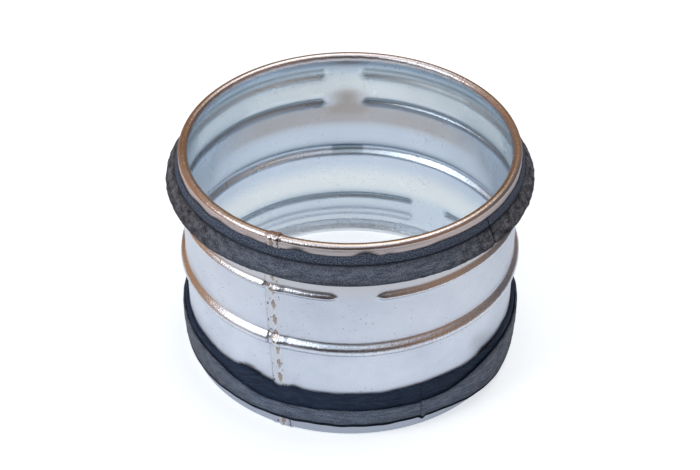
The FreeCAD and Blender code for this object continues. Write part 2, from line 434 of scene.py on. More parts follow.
def girth_weight(angle):
    """More samples at the seam and at the tips of the ridges: 1, plus a hill on each of them."""
    tips = sum(hill(from_gap(angle, gap), GAP / 2 + 2, 4) for gap in (UPPER_GAP, LOWER_GAP))
    return 1.0 + 7.0 * hill(angle, SEAM_MIDDLE, 4.5) + 0.6 * tips


sleeve_angle = crowded(-180.0, 180.0, SLEEVE_COLUMNS + 1, girth_weight)[:-1]
A, Z = sleeve_angle[None, :], section_z[:, None]
ridges = ridge_height(A, Z)
pressed = ridges * (1 - 0.6 * hill(past_seam(A, Z), 0.4, 0.8))
faults = wall_share * (pressed + pinch(A, Z) + dent(A, Z) + creases(A, Z) + outer_share * weld_dip(A, Z))
waves = slow_waves(A, Z) * ramp(from_rim(Z), 0.0, 9.0)
nicks = 0.12 * np.sin(np.radians(61 * A)) + 0.08 * np.sin(np.radians(97 * A + 40 * np.sin(np.radians(5 * A))))
second_layer = lap_step(A, Z) + rim_humps(A, Z)
sleeve_r = section_r[:, None] + faults + waves + outward * second_layer - cut_edge * nicks
sleeve_h = np.clip(Z + upward * second_layer, 0.0, LENGTH)
sleeve_way = np.concatenate([sleeve_h, sleeve_h[:1]])
sleeve = swept_ring("sleeve_sheet", sleeve_r, sleeve_h, sleeve_angle, sleeve_way, True)
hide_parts("sleeve")

# %% [markdown]
# ## Marks for the finish
#
# A material can read numbers kept on the mesh. Six are kept here: which points lie on the inner face,
# which the rolls have burnished, where glue is smeared, a painted brown reflection on the inner face at the
# back, painted shade on the upper flanks of the grooves inside, and a painted golden reflection on the rim.
# They could be painted by hand in Vertex Paint, but worked out from the same angles and heights they always
# fit the shape.

# %% Marks on the sleeve: inner face, rolls, glue and painted back reflection
BACK_ANGLE = 181.0
rim_turn = np.degrees(loop(np.zeros(OUTER_ROWS), curl_turn * curl_outside, np.zeros(INNER_ROWS)))[:, None]
seen_within = np.maximum(1 - outer_share, ramp(rim_turn, 90, 120) * (Z < LENGTH / 2))
inner_wall = (1 - outer_share) * wall_share
on_bead = 1 - ramp(np.abs(Z - BEAD_LEVEL), BEAD_HALF - 1.4, BEAD_HALF - 0.2)
burnished = np.maximum(np.clip(ridges / 0.35, 0, 1), on_bead * np.ones_like(A))
burnished = burnished * wall_share + (1 - wall_share)
from_back = (A - BACK_ANGLE + 180.0) % 360.0 - 180.0
# Painted reflection: a brown-grey patch in the ridge gaps at the back, and a beige band under the upper
# ridge, where the inner wall mirrors the room.
back_reflection = hill(from_back, 0, 6.0) * (0.8 * hill(Z, 82.5, 2.5) + plateau(Z, 62, 67, 5))
back_reflection = back_reflection + 0.75 * plateau(from_back, -30, 30, 35) * plateau(Z, 55.5, 60.5, 3.5)
keep_mark(sleeve, "inside", np.broadcast_to(seen_within, sleeve_r.shape))
keep_mark(sleeve, "burnished", burnished)
keep_mark(sleeve, "smear", smear_share(A, Z) * outer_share)
keep_mark(sleeve, "back_reflection", np.minimum(back_reflection, 1.0) * inner_wall)
print("burnished share of the points:", round(float(burnished.mean()), 2))

# %% Marks on the sleeve: painted groove shade and painted rim reflection
# For each row of ridges, the painted shade on its flank inside: how far above the crest it lies and how wide
# it is, in widths, and how dark.
GROOVE_SHADES = [(0.25, 0.28, 1.0), (0.05, 0.48, 0.9), (0.10, 0.40, 1.0), (0.28, 0.22, 0.5)]
# Painted shade and dark reflection on the upper flanks of the grooves inside, above the bead and in a patch
# at the back of the bead, stronger towards the back.
painted_groove_shade = np.maximum(hill(Z, BEAD_LEVEL + 2.4, 1.5), plateau(from_back, -5, 5, 1.5) * hill(Z, BEAD_LEVEL, 2.2))
for (level, gap, (width, height, tip)), (above, reach, depth) in zip(RIDGE_ROWS, GROOVE_SHADES):
    shade = depth * hill(Z, level + above * width, reach * width)
    painted_groove_shade = np.maximum(painted_groove_shade, swelling(A, gap, tip) * shade)
painted_groove_shade = painted_groove_shade * (0.55 + 0.45 * ramp(np.abs(A), 105, 145))
# Painted reflection: gold on the top of the upper curl, where it mirrors the wood round the room, less on the
# far side.
far_side = ramp(np.abs(A), 100, 140) * ramp(rim_turn, 84, 100)
rim_wood_reflection = plateau(rim_turn, 70, 128, 8) * (Z > LENGTH / 2) * (1 - 0.8 * far_side)
keep_mark(sleeve, "painted_groove_shade", painted_groove_shade * inner_wall)
keep_mark(sleeve, "rim_wood_reflection", rim_wood_reflection)
print("golden share of the points:", round(float(rim_wood_reflection.mean()), 3))

# %% [markdown]
# ## The rubber gaskets
#
# Each gasket is an extruded strip, wrapped round the end and cut to length, so it has two ends that butt
# together. The section is given by stations: corner points whose radius and depth may change with the
# angle. Straight blends between stations make the rows. Depth is measured from the nearest rim.

# %% Gasket helpers
GASKET_COLUMNS = 1000
LUMP_WAVES = 36
GROOVE_STATION, LIP_START, LIP_END = 4, 5, 9


def once_round(joint, gap):
    """Angles from just past a joint, once round to just before it, and the same folded to -180..180."""
    angle = np.linspace(joint + gap / 2, joint + 360 - gap / 2, GASKET_COLUMNS)
    return angle, (angle + 180) % 360 - 180


def nibbled(angle):
    """A torn edge: three quick sine waves that fall in and out of step."""
    a = np.radians(angle)
    return 0.05 * np.sin(83 * a + 1.0) + 0.05 * np.sin(131 * a + 2.0) + 0.04 * np.sin(197 * a + 4.0)


def blended(stations, steps):
    """Rows between stations: radius and depth move in straight lines, in the given number of steps."""
    radius, depth = [], []
    closed = [np.broadcast_arrays(r, d, np.zeros(GASKET_COLUMNS))[:2] for r, d in stations + stations[:1]]
    for (r0, d0), (r1, d1), count in zip(closed, closed[1:], steps):
        share = np.arange(count)[:, None] / count
        radius.append(r0 + (r1 - r0) * share)
        depth.append(d0 + (d1 - d0) * share)
    return np.concatenate(radius), np.concatenate(depth)


def running_length(radius, depth):
    """How far each row lies along the section, in mm, with the closing row added."""
    step = np.hypot(np.diff(radius, axis=0), np.diff(depth, axis=0))
    closing = np.hypot(radius[:1] - radius[-1:], depth[:1] - depth[-1:])
    return np.concatenate([np.zeros_like(radius[:1]), np.cumsum(np.concatenate([step, closing]), axis=0)])


def lumps(angle, along, seed):
    """Lumpy rubber: plane waves over girth and section, 1.6 to 8 mm long, from a fixed seed."""
    draw = np.random.default_rng(seed)
    girth = np.radians(angle)[None, :] * GIRTH_RADIUS
    total = np.zeros(along.shape)
    lengths = draw.uniform(1.6, 8, LUMP_WAVES)
    ways = draw.uniform(0, np.pi, LUMP_WAVES)
    phases = draw.uniform(0, 6.3, LUMP_WAVES)
    for length, way, phase in zip(lengths, ways, phases):
        total += np.sin((girth * np.cos(way) + along * np.sin(way)) * 2 * np.pi / length + phase)
    return total / np.sqrt(LUMP_WAVES)


def mark_rows(gasket, steps, edge_shade, edge_rows):
    """Keep two marks by station number: painted shade in the hinge groove, where the lip starts and on the
    lip's edge, and the lip.
    """
    row = np.arange(sum(steps))[:, None] * np.ones(GASKET_COLUMNS)
    first = np.cumsum([0] + steps)
    groove, lip_start, lip_end = first[GROOVE_STATION], first[LIP_START], first[LIP_END]
    # Painted shade where the lip starts and on the lip's edge; the hinge groove is added below.
    hinge_and_edge_shade = 0.4 * hill(row, lip_start, 4.0) + edge_shade * hill(row, lip_end, edge_rows)
    keep_mark(gasket, "groove", np.minimum(hinge_and_edge_shade + hill(row, groove, 1.1), 1.0))
    keep_mark(gasket, "lip", plateau(row, lip_start, lip_end, 1.0))


print("a gasket has", GASKET_COLUMNS, "sections, one each", round(360 / GASKET_COLUMNS, 2), "degrees")

# %% [markdown]
# ## The upper gasket
#
# Its lip stands well out from the tube and droops a little unevenly. It has been pushed into a duct and
# pulled out again, so its skin is lumpy and scuffed, most of all at the sides. The underside runs back to
# the strip, which lies on the wall below.

# %% Upper gasket: section
UPPER_JOINT, UPPER_JOINT_GAP = 48.8, 0.45
UPPER_TIP_R, UPPER_TIP_D = 66.85, 12.2
UPPER_HINGE_R, UPPER_HINGE_D = 63.6, 7.2
upper_angle, place = once_round(UPPER_JOINT, UPPER_JOINT_GAP)
edge = upper_edge(place)
tip_r = UPPER_TIP_R + wavering(place, [0.14, 0.10, 0.06, 0.04, 0.02], 5) - 0.5 * hill(place, UPPER_JOINT, 1.5)
tip_d = UPPER_TIP_D + wavering(place, [0.12, 0.15, 0.08, 0.05, 0.03], 7) + nibbled(place)
thin = 0.42 - 0.2 * np.clip(smears(place, UPPER_LOBES), 0, 1)
lip_middle = (0.5 * (UPPER_HINGE_R + tip_r) + 0.22, 0.5 * (UPPER_HINGE_D + tip_d))
upper_stations = [
    (COLLAR + 0.02, edge), (COLLAR + thin, edge + 0.1), (62.85, np.maximum(5.0, edge + 0.5)), (63.5, 6.5),
    (63.15, 6.85), (UPPER_HINGE_R, UPPER_HINGE_D), lip_middle, (tip_r, tip_d), (tip_r + 0.05, tip_d + 0.5),
    (tip_r - 0.55, tip_d + 0.75), (63.3, 9.7), (63.2, 15.9), (62.6, 16.5), (WALL + 0.1, 16.5),
    (WALL + 0.1, 13.2), (62.55, SEAT_RIDGE_FROM_RIM), (WALL + 0.1, 6.2)]
upper_steps = [1, 3, 4, 1, 1, 7, 7, 2, 2, 6, 5, 1, 1, 2, 2, 2, 2]
upper_r, upper_d = blended(upper_stations, upper_steps)
print("upper lip reaches", round(float(tip_r.max()), 2), "mm from the axis")

# %% Upper gasket: mesh and marks
scuffed = 0.4 + 0.6 * ramp(np.abs(place + 4), 22, 58)
upper_way = running_length(upper_r, upper_d)
upper_lip = plateau(upper_way[:-1], 4.6, 9.4, 1.2)
upper_r = upper_r + 0.17 * scuffed * upper_lip * lumps(place, upper_way[:-1], 23)
upper_gasket = swept_ring("upper_rubber", upper_r, LENGTH - upper_d, upper_angle, upper_way, False)
mark_rows(upper_gasket, upper_steps, 0.85, 6.0)
keep_mark(upper_gasket, "scuffed", np.broadcast_to(scuffed, upper_r.shape))
keep_mark(upper_gasket, "worn_lit_strip", np.ones(upper_r.shape))
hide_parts("upper_gasket")

# %% [markdown]
# ## The lower gasket
#
# Here the lip lies close to the strip and points up, so the camera looks into the narrow groove behind
# it. From the front round to the sides the lip rises until it covers most of the strip. The strip's upper
# edge is uneven, with a lobe beside the seam. On the right the lip is loose and hangs lower, so that it
# hides the rim there, and a small tail hangs from the joint.

# %% Lower gasket: section
LOWER_JOINT, LOWER_JOINT_GAP = 23.6, 0.15
LOWER_TIP_R, LOWER_TIP_D, LIP_RISE = 64.1, 13.2, 4.6
LOWER_FOOT_D = 4.9
lower_angle, place = once_round(LOWER_JOINT, LOWER_JOINT_GAP)
loose = hill(place, 54, 17)
tail = hill(place, LOWER_JOINT + 0.8, 0.9)
slipped = hill(place, LOWER_JOINT, 3.0) * (place < LOWER_JOINT)
raised = ramp(np.abs(place), 28, 55)
foot_d = LOWER_FOOT_D - 2.2 * loose - 1.2 * tail + wavering(place, [0.1, 0.1, 0.1, 0.1, 0.08], 11)
tip_r = LOWER_TIP_R + 0.4 * loose - 0.3 * slipped + wavering(place, [0.12, 0.1, 0.07, 0.05, 0.03], 13)
tip_d = LOWER_TIP_D + LIP_RISE * raised - 0.7 * slipped + wavering(place, [0.15, 0.15, 0.12, 0.08, 0.05], 17)
top_edge = lower_edge(place)
hinge_r = 63.75 + 0.9 * loose
lip_middle = (0.5 * (hinge_r + tip_r) + 0.15, 0.5 * (foot_d + 2.5 + tip_d))
lower_stations = [
    (COLLAR + 0.02, foot_d), (COLLAR + 0.6 + 0.5 * loose, foot_d + 0.1), (63.3 + 0.7 * loose, foot_d + 0.6),
    (63.6 + 0.8 * loose, foot_d + 1.0), (62.9 + 0.8 * loose, foot_d + 1.6), (hinge_r, foot_d + 2.2),
    lip_middle, (tip_r, tip_d), (tip_r - 0.25, tip_d + 0.35), (tip_r - 0.75, tip_d + 0.2), (63.0, 10.0),
    (63.05, 13.0), (63.1, top_edge - 0.9), (62.8, top_edge), (WALL + 0.2, top_edge + 0.15),
    (62.85, LOWER_RIDGE_Z), (WALL + 0.1, 15.8), (WALL + 0.1, 13.2), (62.55, SEAT_RIDGE_FROM_RIM),
    (WALL + 0.1, 6.2)]
lower_steps = [1, 2, 2, 1, 1, 6, 6, 1, 1, 4, 2, 6, 2, 1, 1, 2, 2, 2, 2, 2]
lower_r, lower_d = blended(lower_stations, lower_steps)
print("lower lip ends", tip_d.min().round(1), "to", tip_d.max().round(1), "mm above the rim")

# %% Lower gasket: mesh and marks
lower_way = running_length(lower_r, lower_d)
lower_lip = plateau(lower_way[:-1], 4.2, 10.0, 1.2)
lower_r = lower_r + 0.06 * lower_lip * lumps(place, lower_way[:-1], 29)
lower_gasket = swept_ring("lower_rubber", lower_r, lower_d, lower_angle, lower_way, False)
mark_rows(lower_gasket, lower_steps, 0.45, 2.5)
rubbed = 0.14 + 0.45 * ramp(np.abs(place), 28, 70) + wavering(place, [0.0, 0.03, 0.03, 0.03, 0.02], 31)
keep_mark(lower_gasket, "scuffed", np.broadcast_to(rubbed, lower_r.shape))
keep_mark(lower_gasket, "worn_lit_strip", np.zeros(lower_r.shape))
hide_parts("lower_gasket")

# %% [markdown]
# ## Node helpers
#
# Materials are small networks. The first helper adds a node and sets or links its inputs by name. The
# others name the nodes that are used again and again: sums, ranges, noise, colour ramps and mixes.

# %% Add nodes by name
def put(tree, kind, settings=None, **inputs):
    """Add a node, set its properties, and set or link each input; a space in a name is written as _."""
    made = tree.nodes.new(kind)
    for name, value in (settings or {}).items():
        setattr(made, name, value)
    for name, value in inputs.items():
        key = int(name[1:]) if name[1:].isdigit() else name.replace("_", " ")
        if isinstance(value, bpy.types.NodeSocket):
            tree.links.new(value, made.inputs[key])
        else:
            made.inputs[key].default_value = value
    return made


def sums(tree, operation, first, second=0.0, third=0.0):
    """A Math node, and what it puts out."""
    return put(tree, "ShaderNodeMath", {"operation": operation}, i0=first, i1=second, i2=third).outputs[0]


def times(tree, first, second):
    """The product of two values."""
    return sums(tree, "MULTIPLY", first, second)


def times_plus(tree, first, second, third):
    """The product of the first two values, plus the third."""
    return sums(tree, "MULTIPLY_ADD", first, second, third)


def span(tree, value, low, high, start=0.0, end=1.0):
    """A Map Range node: values from low to high become start to end, and no further."""
    made = put(tree, "ShaderNodeMapRange", Value=value, From_Min=low, From_Max=high, To_Min=start, To_Max=end)
    return made.outputs["Result"]


def near(tree, value, centre, half, soft):
    """1 close to the centre; over the last soft stretch before half a width away it falls to 0."""
    away = sums(tree, "ABSOLUTE", sums(tree, "SUBTRACT", value, centre))
    return span(tree, away, half - soft, half, 1.0, 0.0)


def stretched(tree, place, factors):
    """A place with each axis multiplied by its factor."""
    return put(tree, "ShaderNodeVectorMath", {"operation": "MULTIPLY"}, i0=place, i1=factors).outputs[0]


def noise(tree, place, scale, detail, rough):
    """Noise between 0 and 1 that is mostly near one half."""
    made = put(tree, "ShaderNodeTexNoise", Vector=place, Scale=scale, Detail=detail, Roughness=rough)
    return made.outputs["Fac"]


print("helpers ready")

# %% Colours by name
def shades(tree, value, stops):
    """A colour ramp: stops are (position, colour)."""
    made = put(tree, "ShaderNodeValToRGB", Fac=value)
    first, last = made.color_ramp.elements
    first.position, first.color = stops[0][0], (*stops[0][1], 1)
    last.position, last.color = stops[-1][0], (*stops[-1][1], 1)
    for position, colour in stops[1:-1]:
        made.color_ramp.elements.new(position).color = (*colour, 1)
    return made.outputs["Color"]


def mixed(tree, share, first, second):
    """A colour between the first, which is a socket, and the second, which is three numbers or a socket."""
    made = put(tree, "ShaderNodeMix", {"data_type": "RGBA"})
    tree.links.new(share, made.inputs["Factor"])
    sockets = {socket.name: socket for socket in made.inputs if socket.type == "RGBA"}
    tree.links.new(first, sockets["A"])
    if isinstance(second, bpy.types.NodeSocket):
        tree.links.new(second, sockets["B"])
    else:
        sockets["B"].default_value = (*second, 1)
    return [socket for socket in made.outputs if socket.type == "RGBA"][0]


def layered(tree, colour, layers):
    """A colour with tints laid over it in turn; a layer is where it lies, how much of it, and its tint."""
    for share, amount, tint in layers:
        colour = mixed(tree, times(tree, share, amount), colour, tint)
    return colour


def new_material(name):
    """A material, its node tree, its shader, the girth place in mm and the place in space in metres."""
    material = bpy.data.materials.new(name)
    material.use_nodes = True
    tree = material.node_tree
    girth = put(tree, "ShaderNodeUVMap", {"uv_map": "girth"}).outputs["UV"]
    space = put(tree, "ShaderNodeTexCoord").outputs["Object"]
    return material, tree, tree.nodes["Principled BSDF"], girth, space


def kept(tree, name):
    """A mark that was kept on the mesh."""
    return put(tree, "ShaderNodeAttribute", {"attribute_name": name}).outputs["Fac"]


def fill_shader(tree, shader, colour, roughness, relief, strength, deep):
    """Link a colour, a roughness and a Bump of the relief, so many metres deep, to a shader."""
    bump = put(tree, "ShaderNodeBump", Height=relief, Strength=strength, Distance=deep).outputs["Normal"]
    for socket, name in ((colour, "Base Color"), (roughness, "Roughness"), (bump, "Normal")):
        tree.links.new(socket, shader.inputs[name])


print("colour helpers ready")

# %% [markdown]
# ## Handling marks, shared by metal and rubber
#
# Both finishes have specks of dirt and fine lines that run round the girth. A node group makes both masks
# once from the girth place, and each material asks for its own amounts. The specks are cells of a Voronoi
# pattern: a few cells are picked by their random colour, and only the middle of each is marked.

# %% Group of handling marks
marks = bpy.data.node_groups.new("handling_marks", "ShaderNodeTree")
marks.interface.new_socket("Place", in_out="INPUT", socket_type="NodeSocketVector")
for socket_name in ("Speck Share", "Line Amount"):
    marks.interface.new_socket(socket_name, in_out="INPUT", socket_type="NodeSocketFloat")
for socket_name in ("Specks", "Lines"):
    marks.interface.new_socket(socket_name, in_out="OUTPUT", socket_type="NodeSocketFloat")
taken = marks.nodes.new("NodeGroupInput").outputs
given = marks.nodes.new("NodeGroupOutput").inputs
wobble = put(marks, "ShaderNodeTexNoise", Vector=taken["Place"], Scale=1.3, Detail=2.0).outputs["Color"]
bent = put(marks, "ShaderNodeVectorMath", {"operation": "MULTIPLY_ADD"}, i0=wobble, i1=(1.1, 1.1, 0.0),
           i2=taken["Place"]).outputs[0]
cells = put(marks, "ShaderNodeTexVoronoi", {"voronoi_dimensions": "2D"}, Vector=bent, Scale=0.5)
draw = put(marks, "ShaderNodeSeparateColor", Color=cells.outputs["Color"]).outputs
reach = span(marks, draw["Green"], 0.0, 1.0, 0.05, 0.17)
dots = sums(marks, "LESS_THAN", cells.outputs["Distance"], reach)
specks = times(marks, dots, sums(marks, "LESS_THAN", draw["Red"], taken["Speck Share"]))
drawn_out = stretched(marks, taken["Place"], (0.05, 2.4, 1.0))
lines = span(marks, noise(marks, drawn_out, 1.0, 5.0, 0.65), 0.35, 0.75)
marks.links.new(specks, given["Specks"])
marks.links.new(times(marks, lines, taken["Line Amount"]), given["Lines"])
print("group has", len(marks.nodes), "nodes")

# %% [markdown]
# ## Galvanised sheet
#
# Zinc is a pale, slightly blue metal. The plain wall is dull, and the rolls have burnished the bead, the
# ridges and the curls until they shine. The upper collar is a little pink, the inside a little green, the
# painted reflection at the back of the inside is brown, and a warm painted reflection lies just under the
# upper lip. All of it follows the mesh, so it stays put whatever the view.

# %% Zinc: base colour
UNDER_LIP_LEVEL = 70.5
zinc, tree, shader, girth, space = new_material("galvanised_zinc")
around, up = (put(tree, "ShaderNodeSeparateXYZ", Vector=girth).outputs[axis] for axis in ("X", "Y"))
inside, burnish, smear = (kept(tree, name) for name in ("inside", "burnished", "smear"))
outer = sums(tree, "SUBTRACT", 1.0, inside)
clouds = noise(tree, space, 38.0, 4.0, 0.6)
fine_bloom = times(tree, noise(tree, girth, 2.2, 3.0, 0.75), 0.4)
bloom = times_plus(tree, clouds, 0.6, fine_bloom)
metal = shades(tree, bloom, [(0.34, (0.54, 0.59, 0.69)), (0.50, (0.67, 0.73, 0.84)),
                             (0.66, (0.79, 0.85, 0.95))])
# Painted reflection: a warm tint on the outer wall just under the upper lip.
under_lip_reflection = times(tree, near(tree, up, UNDER_LIP_LEVEL, 8.0, 6.0), outer)
upper_collar, lower_collar = (times(tree, near(tree, up, level, COLLAR_FOOT + 1.0, 1.0), outer)
                              for level in (LENGTH, 0.0))
metal = layered(tree, metal, [
    (under_lip_reflection, 0.5, (0.70, 0.68, 0.68)), (upper_collar, 0.75, (0.64, 0.55, 0.53)),
    (lower_collar, 0.85, (0.43, 0.47, 0.56))])
print("zinc so far", len(tree.nodes), "nodes")

# %% [markdown]
# ## The inner face and the rim
#
# Inside, the sheet mirrors itself, so its tone changes in bands from the lower rim to the upper one. A
# colour ramp over the height paints these bands of reflection. The painted brown reflection at the back, the
# painted groove shade and the painted gold reflection on the rim lie on top, each one mix steered by its
# mark, and a noise drawn out round the rim breaks up the gold.

# %% Zinc: the inner face
height_share = sums(tree, "DIVIDE", up, LENGTH)
inner_zinc = shades(tree, height_share, [
    (0.00, (0.96, 0.98, 1.00)), (0.10, (0.76, 0.84, 0.92)), (0.22, (0.76, 0.85, 0.93)),
    (0.27, (0.95, 1.00, 1.00)), (0.32, (0.95, 1.00, 1.00)), (0.40, (0.70, 0.79, 0.91)),
    (0.60, (0.68, 0.76, 0.86)), (0.72, (0.72, 0.80, 0.90)), (0.80, (0.95, 1.00, 1.00)),
    (0.87, (0.95, 1.00, 1.00)), (0.93, (0.70, 0.82, 0.93))])
# Noise drawn out round the rim breaks up the painted gold reflection.
round_rim = noise(tree, stretched(tree, space, (40.0, 40.0, 1500.0)), 1.0, 3.0, 0.6)
rim_reflection_share = span(tree, round_rim, 0.35, 0.6, 0.45, 0.9)
# Over the inner tone lie the painted back reflection, the painted groove shade and the painted rim
# reflection.
metal = layered(tree, metal, [
    (inside, 0.92, inner_zinc), (kept(tree, "back_reflection"), 0.85, (0.46, 0.40, 0.36)),
    (kept(tree, "painted_groove_shade"), 0.75, (0.18, 0.25, 0.31)),
    (kept(tree, "rim_wood_reflection"), rim_reflection_share, (0.44, 0.31, 0.18))])
print("with the inner face", len(tree.nodes), "nodes")

# %% [markdown]
# ## Dirt, and painted copper reflection on the rolled parts
#
# Specks gather in patches, which one slow noise picks out. Faint brown streaks across the bead and the ridges
# are painted reflection of the wood round the room: a noise stretched up and down, shown only where the
# outside is burnished.

# %% Zinc: specks
zinc_marks = put(tree, "ShaderNodeGroup", {"node_tree": marks}, Place=girth, Speck_Share=0.2, Line_Amount=1.0)
gathered = span(tree, noise(tree, space, 60.0, 2.0, 0.5), 0.4, 0.65)
dirt = times(tree, zinc_marks.outputs["Specks"], gathered)
metal = mixed(tree, times(tree, dirt, 0.55), metal, (0.20, 0.14, 0.12))
print("with specks", len(tree.nodes), "nodes")

# %% Zinc: painted copper reflection on the rolled parts
hatch = noise(tree, stretched(tree, girth, (1.15, 0.14, 1.0)), 1.0, 3.0, 0.6)
streaks = span(tree, hatch, 0.42, 0.64)
patchy = span(tree, noise(tree, space, 22.0, 2.0, 0.5), 0.38, 0.62)
between = near(tree, up, LENGTH / 2, LENGTH / 2 - COLLAR_FOOT, 1.0)
rolled = times(tree, times(tree, burnish, outer), between)
copper_reflection_share = times(tree, times(tree, streaks, patchy), rolled)
# Painted reflection: brown streaks on the burnished bead and ridges, where they mirror wood.
metal = mixed(tree, times(tree, copper_reflection_share, 0.25), metal, (0.40, 0.20, 0.11))
print("with streaks", len(tree.nodes), "nodes")

# %% [markdown]
# ## Weld marks
#
# Each spot weld burnt a brown almond into the zinc and pushed up a bright border round it. Dark spatter
# lies to both sides. A remainder repeats one almond up the seam, and a little noise makes each differ.

# %% Zinc: weld marks along the seam
lean_mm = float(np.radians(-SEAM_LEAN) * GIRTH_RADIUS)
row_mm = float(np.radians(WELD_ANGLE + WELD_LEVEL * SEAM_LEAN) * GIRTH_RADIUS)
shake = noise(tree, girth, 0.9, 2.0, 0.5)
lean_up = sums(tree, "MINIMUM", up, WELD_LEVEL)
across = sums(tree, "SUBTRACT", around, times_plus(tree, lean_up, lean_mm, row_mm))
across = sums(tree, "ADD", across, span(tree, shake, 0.3, 0.7, -0.35, 0.35))
climb = sums(tree, "ADD", up, WELD_PITCH * 10.5 - WELD_LEVEL)
climb = sums(tree, "SUBTRACT", sums(tree, "FLOORED_MODULO", climb, WELD_PITCH), WELD_PITCH / 2)
side = sums(tree, "ABSOLUTE", across)
rise = sums(tree, "DIVIDE", climb, 2.9)
almond = times_plus(tree, rise, rise, side)
print("weld row: pitch", WELD_PITCH, "mm")

# %% Zinc: burn, scorch and bright border
burn = times(tree, span(tree, almond, 0.3, 0.6, 1.0, 0.0), outer)
border = times(tree, near(tree, almond, 1.15, 0.4, 0.25), outer)
scorch = times(tree, near(tree, almond, 0.66, 0.3, 0.18), outer)
scorch = times(tree, scorch, span(tree, climb, -1.0, 0.8, 0.35, 1.0))
scorch = times(tree, scorch, span(tree, noise(tree, girth, 1.1, 2.0, 0.5), 0.32, 0.46))
lap_tint = times(tree, near(tree, across, -0.3, 3.0, 1.4), outer)
metal = layered(tree, metal, [
    (lap_tint, 0.25, (0.60, 0.57, 0.58)), (border, 0.28, (0.92, 0.92, 0.94)),
    (burn, 0.85, (0.38, 0.26, 0.17)), (scorch, 0.8, (0.11, 0.08, 0.07))])
print("with welds", len(tree.nodes), "nodes")

# %% Zinc: spatter, lap line and smears
spatter_place = stretched(tree, girth, (0.9, 0.62, 1.0))
spatter = put(tree, "ShaderNodeGroup", {"node_tree": marks}, Place=spatter_place, Speck_Share=1.0)
beside = sums(tree, "MAXIMUM", near(tree, across, -1.9, 0.9, 0.2), near(tree, across, 1.7, 0.7, 0.2))
spatter = times(tree, times(tree, spatter.outputs["Specks"], beside), outer)
left_line = times(tree, near(tree, across, -3.15, 0.45, 0.4), near(tree, up, 45.0, 27.0, 2.0))
on_collars = sums(tree, "SUBTRACT", 1.0, near(tree, up, LENGTH / 2, LENGTH / 2 - 5.0, 1.0))
right_line = times(tree, near(tree, across, 2.5, 0.35, 0.2), on_collars)
lap_line = times_plus(tree, left_line, 0.22, times(tree, right_line, 0.8))
metal = layered(tree, metal, [
    (spatter, 0.9, (0.05, 0.045, 0.045)), (lap_line, outer, (0.10, 0.09, 0.10)),
    (smear, 0.92, (0.030, 0.042, 0.060))])
print("with spatter", len(tree.nodes), "nodes")

# %% [markdown]
# ## Gloss and fine relief
#
# What is dull and what shines follows the same marks as the colour. Relief that is finer than the mesh is a
# Bump: chatter of the rolls, grit, the border of each weld and its spatter. Larger forms are in the mesh.

# %% Zinc: gloss and fine relief
gloss = span(tree, clouds, 0.3, 0.7, 0.34, 0.46)
gloss = times_plus(tree, inside, -0.12, gloss)
gloss = times_plus(tree, times(tree, burnish, outer), -0.22, gloss)
gloss = times_plus(tree, smear, 0.25, gloss)
fine_grit = times(tree, noise(tree, space, 900.0, 3.0, 0.6), 0.25)
grit = times_plus(tree, hatch, 0.1, fine_grit)
chatter = times(tree, sums(tree, "ADD", hatch, noise(tree, girth, 2.0, 3.0, 0.7)), burnish)
relief = times_plus(tree, chatter, 1.7, grit)
relief = times_plus(tree, zinc_marks.outputs["Lines"], 0.10, relief)
relief = times_plus(tree, border, 0.5, times_plus(tree, spatter, -0.7, relief))
shader.inputs["Metallic"].default_value = 1.0
fill_shader(tree, shader, metal, gloss, relief, 0.35, 0.0002)
sleeve.data.materials.append(zinc)
print("zinc has", len(tree.nodes), "nodes")

# %% [markdown]
# ## Rubber
#
# Extruded rubber is dark blue where it lies flat on the metal. The lip has been rubbed and bent, so it is
# greyer, with a skin of black pits and pale crumbs. One material does both gaskets, because four marks kept
# on the meshes steer it: the lip, painted shade in the hinge groove and on the lip's edge, how scuffed it is,
# and which strip is worn and paler; the other strip's darker skin is partly painted shade.

# %% Rubber: strip and lip
rubber, tree, shader, girth, space = new_material("gasket_rubber")
on_lip = kept(tree, "lip")
scuff = kept(tree, "scuffed")
crumbs = noise(tree, girth, 2.2, 4.0, 0.8)
drags = noise(tree, stretched(tree, girth, (0.16, 0.9, 1.0)), 1.0, 6.0, 0.7)
blotches = noise(tree, stretched(tree, girth, (0.7, 1.0, 1.0)), 0.42, 3.0, 0.6)
skin_noise = times_plus(tree, crumbs, 0.6, times(tree, drags, 0.4))
rough_noise = times_plus(tree, crumbs, 0.6, times(tree, blotches, 0.4))
strip_skin = shades(tree, drags, [(0.32, (0.008, 0.019, 0.044)), (0.52, (0.020, 0.040, 0.084)),
                                  (0.72, (0.055, 0.080, 0.130))])
worn_strip = shades(tree, crumbs, [(0.40, (0.010, 0.018, 0.045)), (0.50, (0.074, 0.104, 0.170)),
                                   (0.60, (0.270, 0.300, 0.370))])
soft_skin = shades(tree, skin_noise, [(0.42, (0.060, 0.085, 0.135)), (0.50, (0.195, 0.255, 0.370)),
                                      (0.58, (0.400, 0.460, 0.560))])
rough_skin = shades(tree, rough_noise, [(0.42, (0.012, 0.013, 0.021)), (0.50, (0.130, 0.130, 0.158)),
                                        (0.58, (0.380, 0.370, 0.405))])
# The upper strip is worn and paler; the lower strip keeps the darker skin, which is partly painted shade of
# the narrow groove behind its lip.
strip = mixed(tree, kept(tree, "worn_lit_strip"), strip_skin, worn_strip)
skin = mixed(tree, on_lip, strip, mixed(tree, scuff, soft_skin, rough_skin))
# Painted shade: near black in the hinge groove, where the lip starts and on the lip's edge.
skin = mixed(tree, times(tree, kept(tree, "groove"), 0.7), skin, (0.006, 0.008, 0.014))
print("rubber so far", len(tree.nodes), "nodes")

